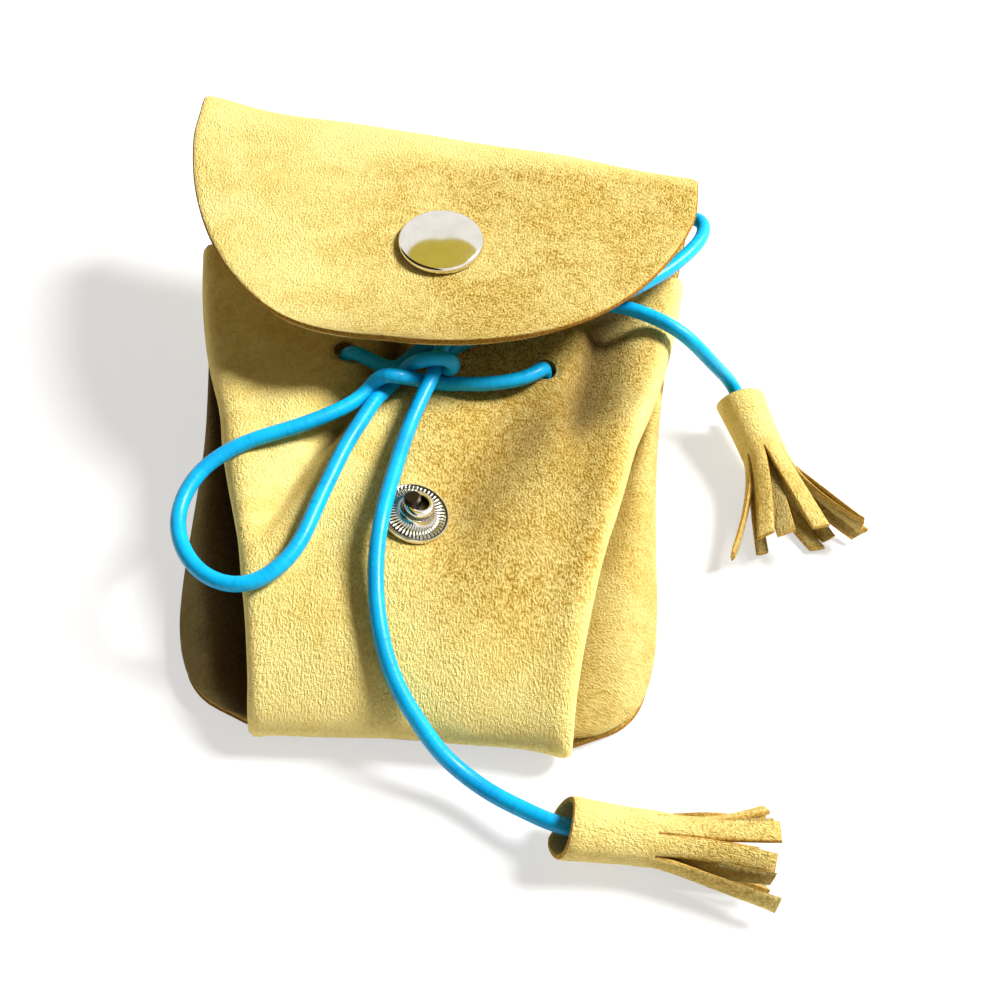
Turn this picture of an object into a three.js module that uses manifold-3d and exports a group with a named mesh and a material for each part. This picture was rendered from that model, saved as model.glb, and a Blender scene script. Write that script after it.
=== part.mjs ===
// A small suede drawstring pouch that lies on its back.
// A front panel with a deep pleat down each side is sewn, seams inside, to a back panel
// whose upper end folds over the mouth as a round flap. A two part press stud closes the
// flap, and a round leather cord runs through four punched holes, is tied in a bow on the
// front and ends in two fringed tassels. X runs across the pouch, Y from the bottom to the
// flap, Z up from the table. All sizes are millimetres.

import * as THREE from "three";
import { mergeVertices } from "three/addons/utils/BufferGeometryUtils.js";
import Module from "manifold-3d";

// Driving dimensions of the suede
const suedeThick = 1.3;
const bodyLength = 82;
const mouthWidth = 80;
const frontBottomWidth = 43;
const backWidth = 72;
const bodyHeight = 21.6;
const bottomDrift = 2.4;
const seamGap = 0.35;

// Driving dimensions of the flap
const flapWidth = 86.4;
const flapLength = 42;
const foldTwist = 9.2;
const tipTwist = 2.5;
const foldAcross = -1.1;
const flapLean = 0.06;
const foldReach = 19.5;
const foldOverBody = 12.4;
const flapTipOverBody = 8.2;

// Driving dimensions of the press stud
const capDiameter = 13.4;
const capHeight = 2.1;
const rivetDiameter = 2.4;
const socketDiameter = 9.6;
const socketHeight = 2.5;
const studDiameter = 10;
const studPost = 3.6;
const studPostHeight = 3.4;
const springWire = 0.5;
const studAlong = 30;
const capFromTip = 20.2;
const fitGap = 0.3;

// Driving dimensions of the cord and the tassels
const cordDiameter = 2.3;
const cordHole = 5;
const holeAlong = 59.3;
const holeLeft = -13.6;
const holeRight = 18;
const tasselDiameter = 7.8;
const tasselTube = 12;
const fringeLength = 18;
const fringeStrips = 13;
const fringeThick = 1.1;

const wasm = await Module();
wasm.setup();

// Colours and finishes
const suede = new THREE.MeshStandardMaterial({ color: 0xe3c878, roughness: 0.95, metalness: 0 });
const leatherCord = new THREE.MeshStandardMaterial({ color: 0x0aa3dc, roughness: 0.35, metalness: 0 });
const nickel = new THREE.MeshStandardMaterial({ color: 0xd9d6cc, roughness: 0.2, metalness: 1 });
const springSteel = new THREE.MeshStandardMaterial({ color: 0x9a9a98, roughness: 0.35, metalness: 1 });

const pouch = new THREE.Group();

function addPiece(name, geometry, material, place) {
  const mesh = new THREE.Mesh(geometry, material);
  mesh.name = name;
  if (place) mesh.applyMatrix4(place);
  pouch.add(mesh);
  return mesh;
}

// Joining and cutting of closed meshes
function solidOf(geometry) {
  const bare = geometry.clone();
  for (const key of Object.keys(bare.attributes)) {
    if (key !== "position") bare.deleteAttribute(key);
  }
  const merged = mergeVertices(bare, 1e-4);
  const vertProperties = Float32Array.from(merged.attributes.position.array);
  const triVerts = Uint32Array.from(merged.index.array);
  return new wasm.Manifold(new wasm.Mesh({ numProp: 3, vertProperties, triVerts }));
}

function geometryOf(solid) {
  const mesh = solid.getMesh();
  const geometry = new THREE.BufferGeometry();
  geometry.setAttribute("position", new THREE.BufferAttribute(mesh.vertProperties, mesh.numProp));
  geometry.setIndex(new THREE.BufferAttribute(mesh.triVerts, 1));
  geometry.computeVertexNormals();
  return geometry;
}

function cut(geometry, tools) {
  let solid = solidOf(geometry);
  for (const tool of tools) solid = solid.subtract(solidOf(tool));
  return geometryOf(solid);
}

function join(geometries) {
  let solid = solidOf(geometries[0]);
  for (const other of geometries.slice(1)) solid = solid.add(solidOf(other));
  return geometryOf(solid);
}

// A smooth value along a list of [position, value] pairs
function track(pairs) {
  const last = pairs.length - 1;
  const slope = (i) => {
    const a = pairs[Math.max(0, i - 1)];
    const b = pairs[Math.min(last, i + 1)];
    return (b[1] - a[1]) / (b[0] - a[0]);
  };
  return (at) => {
    if (at <= pairs[0][0]) return pairs[0][1];
    if (at >= pairs[last][0]) return pairs[last][1];
    let i = 0;
    while (at > pairs[i + 1][0]) i += 1;
    const span = pairs[i + 1][0] - pairs[i][0];
    const t = (at - pairs[i][0]) / span;
    const h = t * t * (3 - 2 * t);
    const bend = span * (slope(i) * t * (1 - t) ** 2 - slope(i + 1) * t * t * (1 - t));
    return pairs[i][1] * (1 - h) + pairs[i + 1][1] * h + bend;
  };
}

// A closed sheet of even thickness round a grid of middle points, grid[row][column]
function sheet(grid, thickness) {
  const rows = grid.length;
  const columns = grid[0].length;
  const normalAt = (r, c) => {
    const along = grid[Math.min(rows - 1, r + 1)][c].clone().sub(grid[Math.max(0, r - 1)][c]);
    const across = grid[r][Math.min(columns - 1, c + 1)].clone().sub(grid[r][Math.max(0, c - 1)]);
    return across.cross(along).normalize();
  };
  const points = [];
  for (const side of [0.5, -0.5]) {
    for (let r = 0; r < rows; r += 1) {
      for (let c = 0; c < columns; c += 1) {
        points.push(grid[r][c].clone().addScaledVector(normalAt(r, c), side * thickness));
      }
    }
  }
  const upper = (r, c) => r * columns + c;
  const lower = (r, c) => rows * columns + r * columns + c;
  const index = [];
  const quad = (a, b, c, d) => index.push(a, b, c, a, c, d);
  for (let r = 0; r < rows - 1; r += 1) {
    for (let c = 0; c < columns - 1; c += 1) {
      quad(upper(r, c), upper(r, c + 1), upper(r + 1, c + 1), upper(r + 1, c));
      quad(lower(r, c), lower(r + 1, c), lower(r + 1, c + 1), lower(r, c + 1));
    }
  }
  for (let r = 0; r < rows - 1; r += 1) {
    const end = columns - 1;
    quad(upper(r, 0), upper(r + 1, 0), lower(r + 1, 0), lower(r, 0));
    quad(upper(r + 1, end), upper(r, end), lower(r, end), lower(r + 1, end));
  }
  for (let c = 0; c < columns - 1; c += 1) {
    const end = rows - 1;
    quad(upper(0, c + 1), upper(0, c), lower(0, c), lower(0, c + 1));
    quad(upper(end, c), upper(end, c + 1), lower(end, c + 1), lower(end, c));
  }
  const geometry = new THREE.BufferGeometry();
  geometry.setAttribute("position", new THREE.Float32BufferAttribute(points.flatMap((p) => p.toArray()), 3));
  geometry.setIndex(index);
  geometry.computeVertexNormals();
  return geometry;
}

// The back panel. Its underside is flat on the table up to the neck, where it lifts.
// Heights are those of the middle of the suede.
const restHeight = suedeThick / 2;
const neckLift = cordDiameter + fitGap + suedeThick;
const backRise = track([[0.49, 0], [0.6, 0.28], [0.71, 1], [0.86, 2.05], [1, 3.4]]);
const backHeight = (y) => restHeight + (neckLift - restHeight) * backRise(y / bodyLength);

// Half width of the sewn outline, as a share of half the back width, over the length
const outline = track([
  [0.035, 0.57], [0.044, 0.64], [0.056, 0.7], [0.08, 0.81], [0.112, 0.88], [0.158, 0.927],
  [0.23, 0.966], [0.33, 0.988], [0.45, 1],
]);
const mouthFlare = track([[0.45, 0], [0.75, 0.32], [1, 1]]);
function seamHalf(y) {
  const share = y / bodyLength;
  return (backWidth / 2) * outline(share) + (mouthWidth / 2 - suedeThick / 2 - backWidth / 2) * mouthFlare(share);
}

// The pouch leans a little to one side towards its bottom
const driftAt = (y) => bottomDrift * (1 - y / bodyLength) ** 1.5;

// The fold of the flap: [how far along, height, half width] past the mouth, middle line
const foldHeight = bodyHeight + foldOverBody;
const flapTipHeight = bodyHeight + flapTipOverBody;
const foldTop = bodyLength + foldReach;
const mouthBack = backHeight(bodyLength);
const foldRun = [
  [bodyLength + 0.45 * foldReach, mouthBack + 0.2 * (foldHeight - mouthBack), 0.955],
  [bodyLength + 0.82 * foldReach, mouthBack + 0.5 * (foldHeight - mouthBack), 0.985],
  [foldTop, mouthBack + 0.76 * (foldHeight - mouthBack), 1],
  [bodyLength + 0.9 * foldReach, mouthBack + 0.95 * (foldHeight - mouthBack), 1],
  [bodyLength + 0.6 * foldReach, foldHeight, 0.99],
];
const flapStart = foldRun[foldRun.length - 1][0];
const flapShape = [
  [0.12, 0.985], [0.28, 0.943], [0.45, 0.873], [0.6, 0.785], [0.72, 0.689], [0.82, 0.581],
  [0.9, 0.46], [0.96, 0.316], [0.993, 0.15], [1, 0.05],
];

// A row of the back panel: its place, its half width and its turn in degrees. The fold lies at
// an angle over the pouch, and the flap turns back towards its tip.
function backRows() {
  const rows = [];
  const low = [0.035, 0.044, 0.056, 0.08, 0.112, 0.158, 0.23, 0.35, 0.49, 0.6, 0.66, 0.76, 0.88, 1];
  for (const share of low) {
    const y = share * bodyLength;
    rows.push({ x: driftAt(y), y, z: backHeight(y), half: seamHalf(y) + 0.2, turn: 0, sag: 0 });
  }
  foldRun.forEach(([y, z, half], i) => {
    const turn = Math.min(1, (i + 1) / 3);
    const x = foldAcross * turn;
    rows.push({ x, y, z, half: (half * flapWidth) / 2, turn: foldTwist * turn, sag: 0 });
  });
  for (const [share, half] of flapShape) {
    const run = share * flapLength;
    const x = foldAcross - run * flapLean;
    const z = foldHeight + (flapTipHeight - foldHeight) * share ** 1.2;
    const turn = foldTwist + (tipTwist - foldTwist) * share ** 1.5;
    rows.push({ x, y: flapStart - run, z, half: (half * flapWidth) / 2, turn, sag: 0.6 * (1 - share) });
  }
  return rows;
}

function backGrid() {
  const columns = 20;
  return backRows().map((row) => {
    const angle = THREE.MathUtils.degToRad(row.turn);
    const line = [];
    for (let c = 0; c <= columns; c += 1) {
      const a = 1 - (2 * c) / columns;
      const reach = -a * row.half;
      line.push(new THREE.Vector3(
        row.x + reach * Math.cos(angle),
        row.y - reach * Math.sin(angle),
        row.z - row.sag * a * a,
      ));
    }
    return line;
  });
}

// The front panel, station by station from the bottom seam to the mouth. along and seam are
// shares of the body length, for the middle line and for the side seam, and height is a share
// of the body height. The pleat's floor and its outer flange are each given as a share of the
// way from the front's edge to the seam and a height over the seam.
const stations = [
  { along: 0.037, height: 0.14, seam: 0.056, floor: [0.25, 0], flange: [0.62, 0] },
  { along: 0.01, height: 0.2, seam: 0.08, floor: [0.14, 0.6], flange: [0.6, 1.2] },
  { along: 0.026, height: 0.36, seam: 0.112, floor: [0.1, 1.4], flange: [0.6, 2.8] },
  { along: 0.063, height: 0.475, seam: 0.158, floor: [0.06, 2], flange: [0.6, 4] },
  { along: 0.105, height: 0.57, seam: 0.19, floor: [0.03, 2.4], flange: [0.56, 5] },
  { along: 0.165, height: 0.66, seam: 0.23, floor: [0, 2.6], flange: [0.56, 5.6] },
  { along: 0.3, height: 0.775, seam: 0.33, floor: [-0.02, 3.6], flange: [0.58, 6] },
  { along: 0.44, height: 0.83, seam: 0.45, floor: [0, 5], flange: [0.6, 6] },
  { along: 0.585, height: 0.88, seam: 0.6, floor: [0.06, 7.4], flange: [0.62, 5.6] },
  { along: 0.71, height: 0.91, seam: 0.73, floor: [0.2, 8.6], flange: [0.66, 5] },
  { along: 0.86, height: 0.955, seam: 0.87, floor: [0.7, 6.6], flange: [0.9, 3.6] },
  { along: 1, height: 1, seam: 1, floor: [0.9, 4.4], flange: [1, 2.2] },
];
const frontShape = track([
  [0, 1], [0.06, 1.005], [0.165, 1.06], [0.3, 1.17], [0.44, 1.32], [0.585, 1.46], [0.71, 1.62],
  [0.86, 1.76], [1, 1.86],
]);
const frontHalf = (share) => {
  const full = (frontShape(share) - 1) / (frontShape(1) - 1);
  return frontBottomWidth / 2 + (mouthWidth / 2 - frontBottomWidth / 2) * full;
};

// The cord draws the panel in a little between its two front holes
const neckDip = (x, y) => {
  const side = (x - (holeLeft + holeRight) / 2) / (holeRight - holeLeft);
  return 1.6 * Math.exp(-(((y - holeAlong) / 7) ** 2)) * Math.exp(-((side / 0.6) ** 2));
};

function frontLine(station) {
  const y = station.along * bodyLength;
  const seamY = station.seam * bodyLength;
  const bed = backHeight(seamY) + suedeThick + seamGap;
  const z = Math.max(station.height * bodyHeight - suedeThick / 2, bed);
  const front = frontHalf(station.along);
  const seam = seamHalf(seamY);
  const between = (share) => front + (seam - front) * share;
  const mix = (share) => y + (seamY - y) * share;
  const crown = 0.03 * bodyHeight * Math.min(1, station.along / 0.1);
  const half = [
    [0, y, z + crown],
    [0.45 * front, y, z + 0.8 * crown],
    [0.84 * front, y, z + 0.25 * crown],
    [front, y, z - 0.35],
    [between(station.floor[0]), mix(0.5), Math.min(bed + station.floor[1], z - 0.5)],
    [between(station.flange[0]), mix(0.75), bed + station.flange[1]],
    [seam, seamY, bed],
  ];
  const left = half.slice(1).reverse().map(([x, py, pz]) => [-x, py, pz]);
  return [...left, ...half].map(([x, py, pz]) => {
    const px = x + driftAt(py);
    return new THREE.Vector3(px, py, pz - neckDip(px, py));
  });
}

function frontGrid() {
  const lines = stations.map(frontLine);
  const steps = [2, 3, 3, 2, 2, 3, 3, 2, 2, 3, 3, 2];
  const rows = [];
  const rowSteps = [1, 1, 1, 1, 1, 2, 2, 2, 2, 2, 2];
  const columnsOf = (points) => {
    const curve = new THREE.CatmullRomCurve3(points, false, "centripetal");
    const out = [];
    steps.forEach((count, i) => {
      for (let k = 0; k < count; k += 1) out.push(curve.getPoint((i + k / count) / steps.length));
    });
    out.push(curve.getPoint(1));
    return out;
  };
  const dense = lines.map(columnsOf);
  const columns = dense[0].length;
  const along = [];
  for (let c = 0; c < columns; c += 1) {
    along.push(new THREE.CatmullRomCurve3(dense.map((line) => line[c]), false, "centripetal"));
  }
  rowSteps.forEach((count, i) => {
    for (let k = 0; k < count; k += 1) {
      rows.push(along.map((curve) => curve.getPoint((i + k / count) / rowSteps.length)));
    }
  });
  rows.push(along.map((curve) => curve.getPoint(1)));
  return rows;
}

// Place and slope of a sheet where a fitting sits: the highest point at (x, y) on a run of
// rows, with the sheet's own normal there
function seatOn(grid, x, y, fromRow, toRow) {
  let best = null;
  for (let r = fromRow; r < toRow; r += 1) {
    for (let c = 0; c < grid[0].length - 1; c += 1) {
      const corner = grid[r][c];
      const across = grid[r][c + 1].clone().sub(corner);
      const along = grid[r + 1][c].clone().sub(corner);
      const det = across.x * along.y - across.y * along.x;
      const p = ((x - corner.x) * along.y - (y - corner.y) * along.x) / det;
      const q = (across.x * (y - corner.y) - across.y * (x - corner.x)) / det;
      if (p < 0 || p > 1 || q < 0 || q > 1) continue;
      const normal = across.clone().cross(along).normalize();
      if (normal.z < 0) normal.negate();
      const point = corner.clone().addScaledVector(across, p).addScaledVector(along, q);
      if (!best || point.z > best.point.z) best = { point, normal };
    }
  }
  return best;
}

// A turned piece whose profile is given as [radius, height] from its seat outwards
function turned(profile, segments = 32) {
  const points = profile.map(([r, h]) => new THREE.Vector2(r, h));
  const geometry = new THREE.LatheGeometry(points, segments);
  geometry.rotateX(Math.PI / 2);
  return geometry;
}

function standing(seat, lift, flip = false) {
  const up = new THREE.Vector3(0, 0, 1);
  const normal = flip ? seat.normal.clone().negate() : seat.normal;
  const turn = new THREE.Quaternion().setFromUnitVectors(up, normal);
  const place = seat.point.clone().addScaledVector(normal, lift);
  return new THREE.Matrix4().compose(place, turn, new THREE.Vector3(1, 1, 1));
}

const front = frontGrid();
const back = backGrid();
const flapFirstRow = back.length - flapShape.length - 1;

const studSeat = seatOn(front, 0, studAlong, 3, front.length - 1);
const capAlong = flapStart - flapLength + capFromTip;
const capSeat = seatOn(back, 0.4, capAlong, flapFirstRow, back.length - 1);

// Punches for the cord and for the rivets
function punch(diameter, height) {
  const geometry = new THREE.CylinderGeometry(diameter / 2, diameter / 2, height, 16);
  geometry.rotateX(Math.PI / 2);
  return geometry;
}

function cordPunch(x, z) {
  const geometry = punch(cordHole, 8 * suedeThick);
  geometry.translate(x, holeAlong, z);
  return geometry;
}

const holeTop = (x) => seatOn(front, x, holeAlong, 6, front.length - 1).point.z;
const frontPunches = [holeLeft, holeRight].map((x) => cordPunch(x, holeTop(x)));
const backPunches = [holeLeft, holeRight].map((x) => cordPunch(x, backHeight(holeAlong)));
const rivetPunch = (seat) => punch(rivetDiameter + 2 * fitGap, 4 * suedeThick).applyMatrix4(standing(seat, 0));

addPiece("front_panel", cut(sheet(front, suedeThick), [...frontPunches, rivetPunch(studSeat)]), suede);
addPiece("back_panel_with_flap", cut(sheet(back, suedeThick), [...backPunches, rivetPunch(capSeat)]), suede);

// Press stud, male half on the front panel: a fluted dish with a hollow post, and the
// rivet whose barrel comes through the panel from the inside
const face = suedeThick / 2 + fitGap;
const studBore = rivetDiameter / 2 + fitGap;
const studRadius = studDiameter / 2;
const stud = turned([
  [studBore, 0], [studRadius - 0.2, 0], [studRadius, 0.25], [studRadius, 0.75], [studRadius - 0.4, 1],
  [studPost / 2 + 1.1, 0.75], [studPost / 2 + 0.1, 1.1], [studPost / 2 - 0.15, 1.9],
  [studPost / 2, studPostHeight - 0.8], [studPost / 2 - 0.35, studPostHeight], [studBore, studPostHeight],
  [studBore, 0],
]);
addPiece("snap_stud", stud, nickel, standing(studSeat, face));
const rivetHead = 4.1;
const stemTop = suedeThick + 2 * fitGap + studPostHeight - 0.3;
const rivet = turned([
  [0, -0.5], [rivetHead - 0.3, -0.5], [rivetHead, -0.2], [rivetHead, 0], [rivetDiameter / 2, 0],
  [rivetDiameter / 2, stemTop - 0.2], [rivetDiameter / 2 - 0.3, stemTop], [0, stemTop],
], 24);
addPiece("stud_rivet", rivet, nickel, standing(studSeat, -face));

// Press stud, female half on the flap: the domed cap with its stem, the socket under the
// flap and the round spring that grips the stud
const capRadius = capDiameter / 2;
const stemEnd = -(suedeThick + 2 * fitGap + 0.9);
const cap = turned([
  [0, stemEnd], [rivetDiameter / 2, stemEnd], [rivetDiameter / 2, 0], [capRadius - 0.5, 0],
  [capRadius, 0.35], [capRadius - 0.05, 0.85], [0.9 * capRadius, 0.62 * capHeight],
  [0.68 * capRadius, 0.84 * capHeight], [0.36 * capRadius, 0.96 * capHeight], [0, capHeight],
], 40);
addPiece("snap_cap", cap, nickel, standing(capSeat, face));
const socketRadius = socketDiameter / 2;
const mouthRadius = studPost / 2 + fitGap;
const springRadius = mouthRadius + springWire / 2 - 0.15;
const grooveRadius = springRadius + springWire / 2 + fitGap;
const floorTop = 1.2;
const socket = turned([
  [studBore, 0], [socketRadius - 0.3, 0], [socketRadius, 0.3], [socketRadius, 0.9],
  [grooveRadius + 0.8, socketHeight - 0.2], [grooveRadius + 0.5, socketHeight],
  [mouthRadius, socketHeight], [mouthRadius, socketHeight - 0.35], [grooveRadius, socketHeight - 0.35],
  [grooveRadius, floorTop], [studBore, floorTop], [studBore, 0],
]);
addPiece("snap_socket", socket, nickel, standing(capSeat, face, true));

function springRing() {
  const opening = 0.5;
  const points = [];
  const turns = 20;
  for (let i = 0; i <= turns; i += 1) {
    const angle = opening + ((2 * Math.PI - 2 * opening) * i) / turns;
    points.push(new THREE.Vector3(springRadius * Math.cos(angle), springRadius * Math.sin(angle), 0));
  }
  return tube(points, springWire / 2, turns, 8);
}

// A tube along points, closed at both ends
function tube(points, radius, steps, sides) {
  const section = new THREE.Shape();
  section.absarc(0, 0, radius, 0, 2 * Math.PI, false);
  const extrudePath = new THREE.CatmullRomCurve3(points, false, "centripetal");
  const curveSegments = sides / 2;
  return new THREE.ExtrudeGeometry(section, { steps, curveSegments, bevelEnabled: false, extrudePath });
}

const springLift = floorTop + fitGap + springWire / 2;
addPiece("snap_spring", springRing(), springSteel, standing(capSeat, face + springLift, true));

// The leather cord. Every route is a list of points chosen along the real cord.
const cordRoutes = {
  drawstring_neck: [
    [6, 53.6, 20.7], [8.6, 53.5, 20.9], [11.5, 54.3, 20.8], [14.4, 55.1, 20.8], [16.6, 56.7, 21],
    [17.8, 58.8, 20.4], [holeRight, holeAlong, 18], [holeRight, holeAlong, 12],
    [holeRight, holeAlong, 5.6], [17.6, holeAlong, 2.9], [15.6, 59.2, 1.4], [11, 59.2, 1.3],
    [2, 59.2, 1.3], [-7, 59.2, 1.3], [-11.2, 59.2, 1.4], [-13.2, holeAlong, 2.9],
    [holeLeft, holeAlong, 5.6], [holeLeft, holeAlong, 12], [holeLeft, holeAlong, 18],
    [-13.3, 58.9, 20.1], [-12.2, 58.3, 21.3], [-10.8, 57.6, 21.3],
  ],
  bow_loop_left: [
    [-7.6, 48.2, 21.1], [-9.1, 43.6, 21.1], [-10.1, 41, 21.1], [-13.2, 29.6, 19.7],
    [-15.9, 20, 18.2], [-21.5, 15.5, 16.8], [-28, 17.2, 16.7], [-33, 25.1, 17.2],
    [-31.7, 33, 18.8], [-26.2, 38.1, 20.3], [-17.7, 42.3, 20.9], [-10.8, 47.4, 21.1],
  ],
  bow_loop_right: [
    [2.6, 62.9, 22.2], [4.5, 64.2, 22.8], [10.5, 68.8, 24], [20, 75.3, 24.4], [30, 82.3, 24.8],
    [36.5, 88.2, 25.8], [39.6, 91, 26.5], [42.2, 91.4, 27.1], [43.6, 89, 27.6],
    [43.2, 85.5, 27.5], [40.6, 81.2, 27.2], [36.4, 76.2, 26.8], [30.4, 71.2, 26.4],
    [22, 66.6, 25.6], [13, 62.8, 24.8], [6.4, 61.4, 24.4],
  ],
  drawstring_end_left: [
    [-1.1, 46.2, 21.8], [-1.9, 43.1, 21.2], [-3.1, 34.5, 21.1], [-4, 25.5, 20.8],
    [-4.1, 19.8, 19], [-3.2, 13.1, 17], [-1.2, 6.9, 14.1], [1.6, 2.6, 11.2], [3.9, 0.4, 9.4],
    [6, -1.7, 7.2], [10.2, -4.1, 4.7], [14, -6.4, 4.3], [17.5, -8.2, 4.8], [20.9, -9.9, 5.3],
    [23.4, -10.9, 5.5], [27.6, -11, 5.2],
  ],
  drawstring_end_right: [
    [8, 63.4, 22.2], [14, 66.6, 22.2], [21.5, 70.4, 22.6], [28.8, 71.8, 23], [34.1, 70, 22.8],
    [38, 68.1, 22.6], [41.5, 66.9, 20.6], [45, 66.9, 16.8], [47.8, 68.4, 12.8],
    [49.8, 69.4, 10.2], [51, 68.8, 8.6], [52, 67, 7.4], [52.9, 64.3, 6.9], [54.1, 60.8, 6.4],
  ],
};
const cordStep = 2 * cordDiameter;
const cordSides = 8;
for (const [name, route] of Object.entries(cordRoutes)) {
  const points = route.map(([x, y, z]) => new THREE.Vector3(x, y, z));
  const length = new THREE.CatmullRomCurve3(points, false, "centripetal").getLength();
  addPiece(name, tube(points, cordDiameter / 2, Math.round(length / cordStep), cordSides), leatherCord);
}

// The knot of the bow, as one closed body of its outer shape. It rests on the front panel.
const knotAcross = -2.2;
const knotAlong = 52.2;
const knotHalf = [2.6 * cordDiameter, 1.75 * cordDiameter, 1.35 * cordDiameter];
const knotBed = seatOn(front, knotAcross, knotAlong, 3, front.length - 1).point.z + suedeThick / 2;
const knot = new THREE.SphereGeometry(1, 16, 10);
knot.scale(...knotHalf);
knot.translate(knotAcross, knotAlong, knotBed + knotHalf[2] + 2 * fitGap);
addPiece("bow_knot", geometryOf(solidOf(knot)), leatherCord);

// A tassel: a strip rolled round the end of the cord, its lower part cut into a fringe
function tassel(fan, curl) {
  const outer = tasselDiameter / 2;
  const bore = cordDiameter / 2 + fitGap;
  const cup = 3.5;
  const wall = 1.2;
  const body = turned([
    [bore, cup], [outer - wall, cup - 0.6], [outer - wall, 0], [outer, 0], [outer, tasselTube],
    [bore, tasselTube], [bore, cup],
  ], 24);
  const strips = [body];
  for (let i = 0; i < fringeStrips; i += 1) {
    const angle = (2 * Math.PI * i) / fringeStrips;
    const out = new THREE.Vector3(Math.cos(angle), Math.sin(angle), 0);
    const side = new THREE.Vector3(-Math.sin(angle), Math.cos(angle), 0);
    const middle = outer - 0.62 * fringeThick;
    const width = ((2 * Math.PI * middle) / fringeStrips) * 0.72;
    const grid = [];
    const steps = 4;
    for (let k = 0; k <= steps; k += 1) {
      const share = k / steps;
      const z = tasselTube - 1 + (fringeLength + 1) * share * (1 - 0.04 * (i % 3));
      const spread = new THREE.Vector3(fan * out.x, curl * out.y, 0).multiplyScalar(share ** 1.6);
      const at = out.clone().multiplyScalar(middle).add(spread);
      at.z = z;
      grid.push([at.clone().addScaledVector(side, width / 2), at.clone().addScaledVector(side, -width / 2)]);
    }
    strips.push(sheet(grid, fringeThick));
  }
  return join(strips);
}

function laid(mouth, tip) {
  const from = new THREE.Vector3(...mouth);
  const axis = new THREE.Vector3(...tip).sub(from).normalize();
  const across = new THREE.Vector3(0, 0, 1).cross(axis).normalize();
  const up = axis.clone().cross(across);
  return new THREE.Matrix4().makeBasis(across, up, axis).setPosition(from);
}

addPiece("tassel_left", tassel(4, -1.6), suede, laid([23.2, -10.9, 5.5], [51.6, -11.7, 3.4]));
addPiece("tassel_right", tassel(6, -1.8), suede, laid([51.7, 68.1, 7.4], [60.6, 41, 3.6]));

// The origin is under the middle of the pouch, its cord and tassels left out
const loose = new Set([...Object.keys(cordRoutes), "bow_knot", "tassel_left", "tassel_right"]);
const footprint = new THREE.Box3();
pouch.updateMatrixWorld(true);
for (const mesh of pouch.children) {
  if (!loose.has(mesh.name)) footprint.expandByObject(mesh);
}
const middle = footprint.getCenter(new THREE.Vector3());
pouch.position.set(-middle.x, -middle.y, 0);

export default pouch;
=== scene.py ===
"""A small suede drawstring pouch that lies on its back: panels, press stud, cord and tassels."""

import math

import bpy
import numpy as np
from mathutils import Matrix, Vector
from mathutils.bvhtree import BVHTree


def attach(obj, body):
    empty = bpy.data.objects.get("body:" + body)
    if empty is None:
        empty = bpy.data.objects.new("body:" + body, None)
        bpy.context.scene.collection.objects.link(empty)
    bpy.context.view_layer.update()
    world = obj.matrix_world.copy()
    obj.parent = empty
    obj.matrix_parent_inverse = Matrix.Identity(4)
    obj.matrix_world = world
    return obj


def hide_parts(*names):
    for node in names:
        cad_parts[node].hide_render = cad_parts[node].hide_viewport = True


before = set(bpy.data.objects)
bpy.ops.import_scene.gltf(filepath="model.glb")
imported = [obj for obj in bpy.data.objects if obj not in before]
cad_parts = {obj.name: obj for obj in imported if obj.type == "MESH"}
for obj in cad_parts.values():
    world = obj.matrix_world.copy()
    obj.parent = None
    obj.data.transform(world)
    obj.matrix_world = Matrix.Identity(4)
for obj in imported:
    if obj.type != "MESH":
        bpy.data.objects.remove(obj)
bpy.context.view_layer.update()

# The maker's frame is in millimetres, with y from the pouch's bottom edge. This is where the
# row's origin lies in it.
MM = 0.001
ROW_ORIGIN = np.array([-1.09, 54.51, 0.0])

# Sizes of the suede
SUEDE = 1.3
BODY_LENGTH = 82.0
MOUTH_WIDTH = 80.0
FRONT_BOTTOM_WIDTH = 43.0
BACK_WIDTH = 72.0
BODY_HEIGHT = 21.6
BOTTOM_DRIFT = 2.4
SEAM_GAP = 0.35
FLAP_WIDTH = 86.4
FLAP_LENGTH = 42.0
FOLD_TWIST = math.radians(9.2)
TIP_TWIST = math.radians(2.5)
FOLD_ACROSS = -1.1
FLAP_LEAN = 0.06
FOLD_REACH = 19.5
FOLD_HEIGHT = BODY_HEIGHT + 12.4
FLAP_TIP_HEIGHT = BODY_HEIGHT + 8.2

# Sizes of the cord and its holes
CORD = 2.3
HOLE_ALONG = 59.3
HOLE_LEFT = -13.6
HOLE_RIGHT = 18.0
HOLE = 3.6


def to_row(points):
    """Points in the maker's millimetres, in metres in the row frame."""
    return (np.asarray(points, float) - ROW_ORIGIN) * MM


# Small helpers for numbers

def smooth(low, high, value):
    """0 below low, 1 above high and a smooth step between them."""
    t = np.clip((np.asarray(value, float) - low) / (high - low), 0, 1)
    return t * t * (3 - 2 * t)


def bump(value, centre, width):
    """A round hump of height 1."""
    return np.exp(-(((np.asarray(value, float) - centre) / width) ** 2))


def track(pairs):
    """A smooth value along a list of (position, value) pairs."""
    at, value = np.array(pairs, float).T
    low = np.maximum(np.arange(len(at)) - 1, 0)
    high = np.minimum(np.arange(len(at)) + 1, len(at) - 1)
    slope = (value[high] - value[low]) / (at[high] - at[low])

    def read(x):
        x = np.clip(np.asarray(x, float), at[0], at[-1])
        i = np.clip(np.searchsorted(at, x, side="left") - 1, 0, len(at) - 2)
        span = at[i + 1] - at[i]
        t = (x - at[i]) / span
        h = t * t * (3 - 2 * t)
        bend = span * (slope[i] * t * (1 - t) ** 2 - slope[i + 1] * t * t * (1 - t))
        return value[i] * (1 - h) + value[i + 1] * h + bend

    return read


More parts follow.
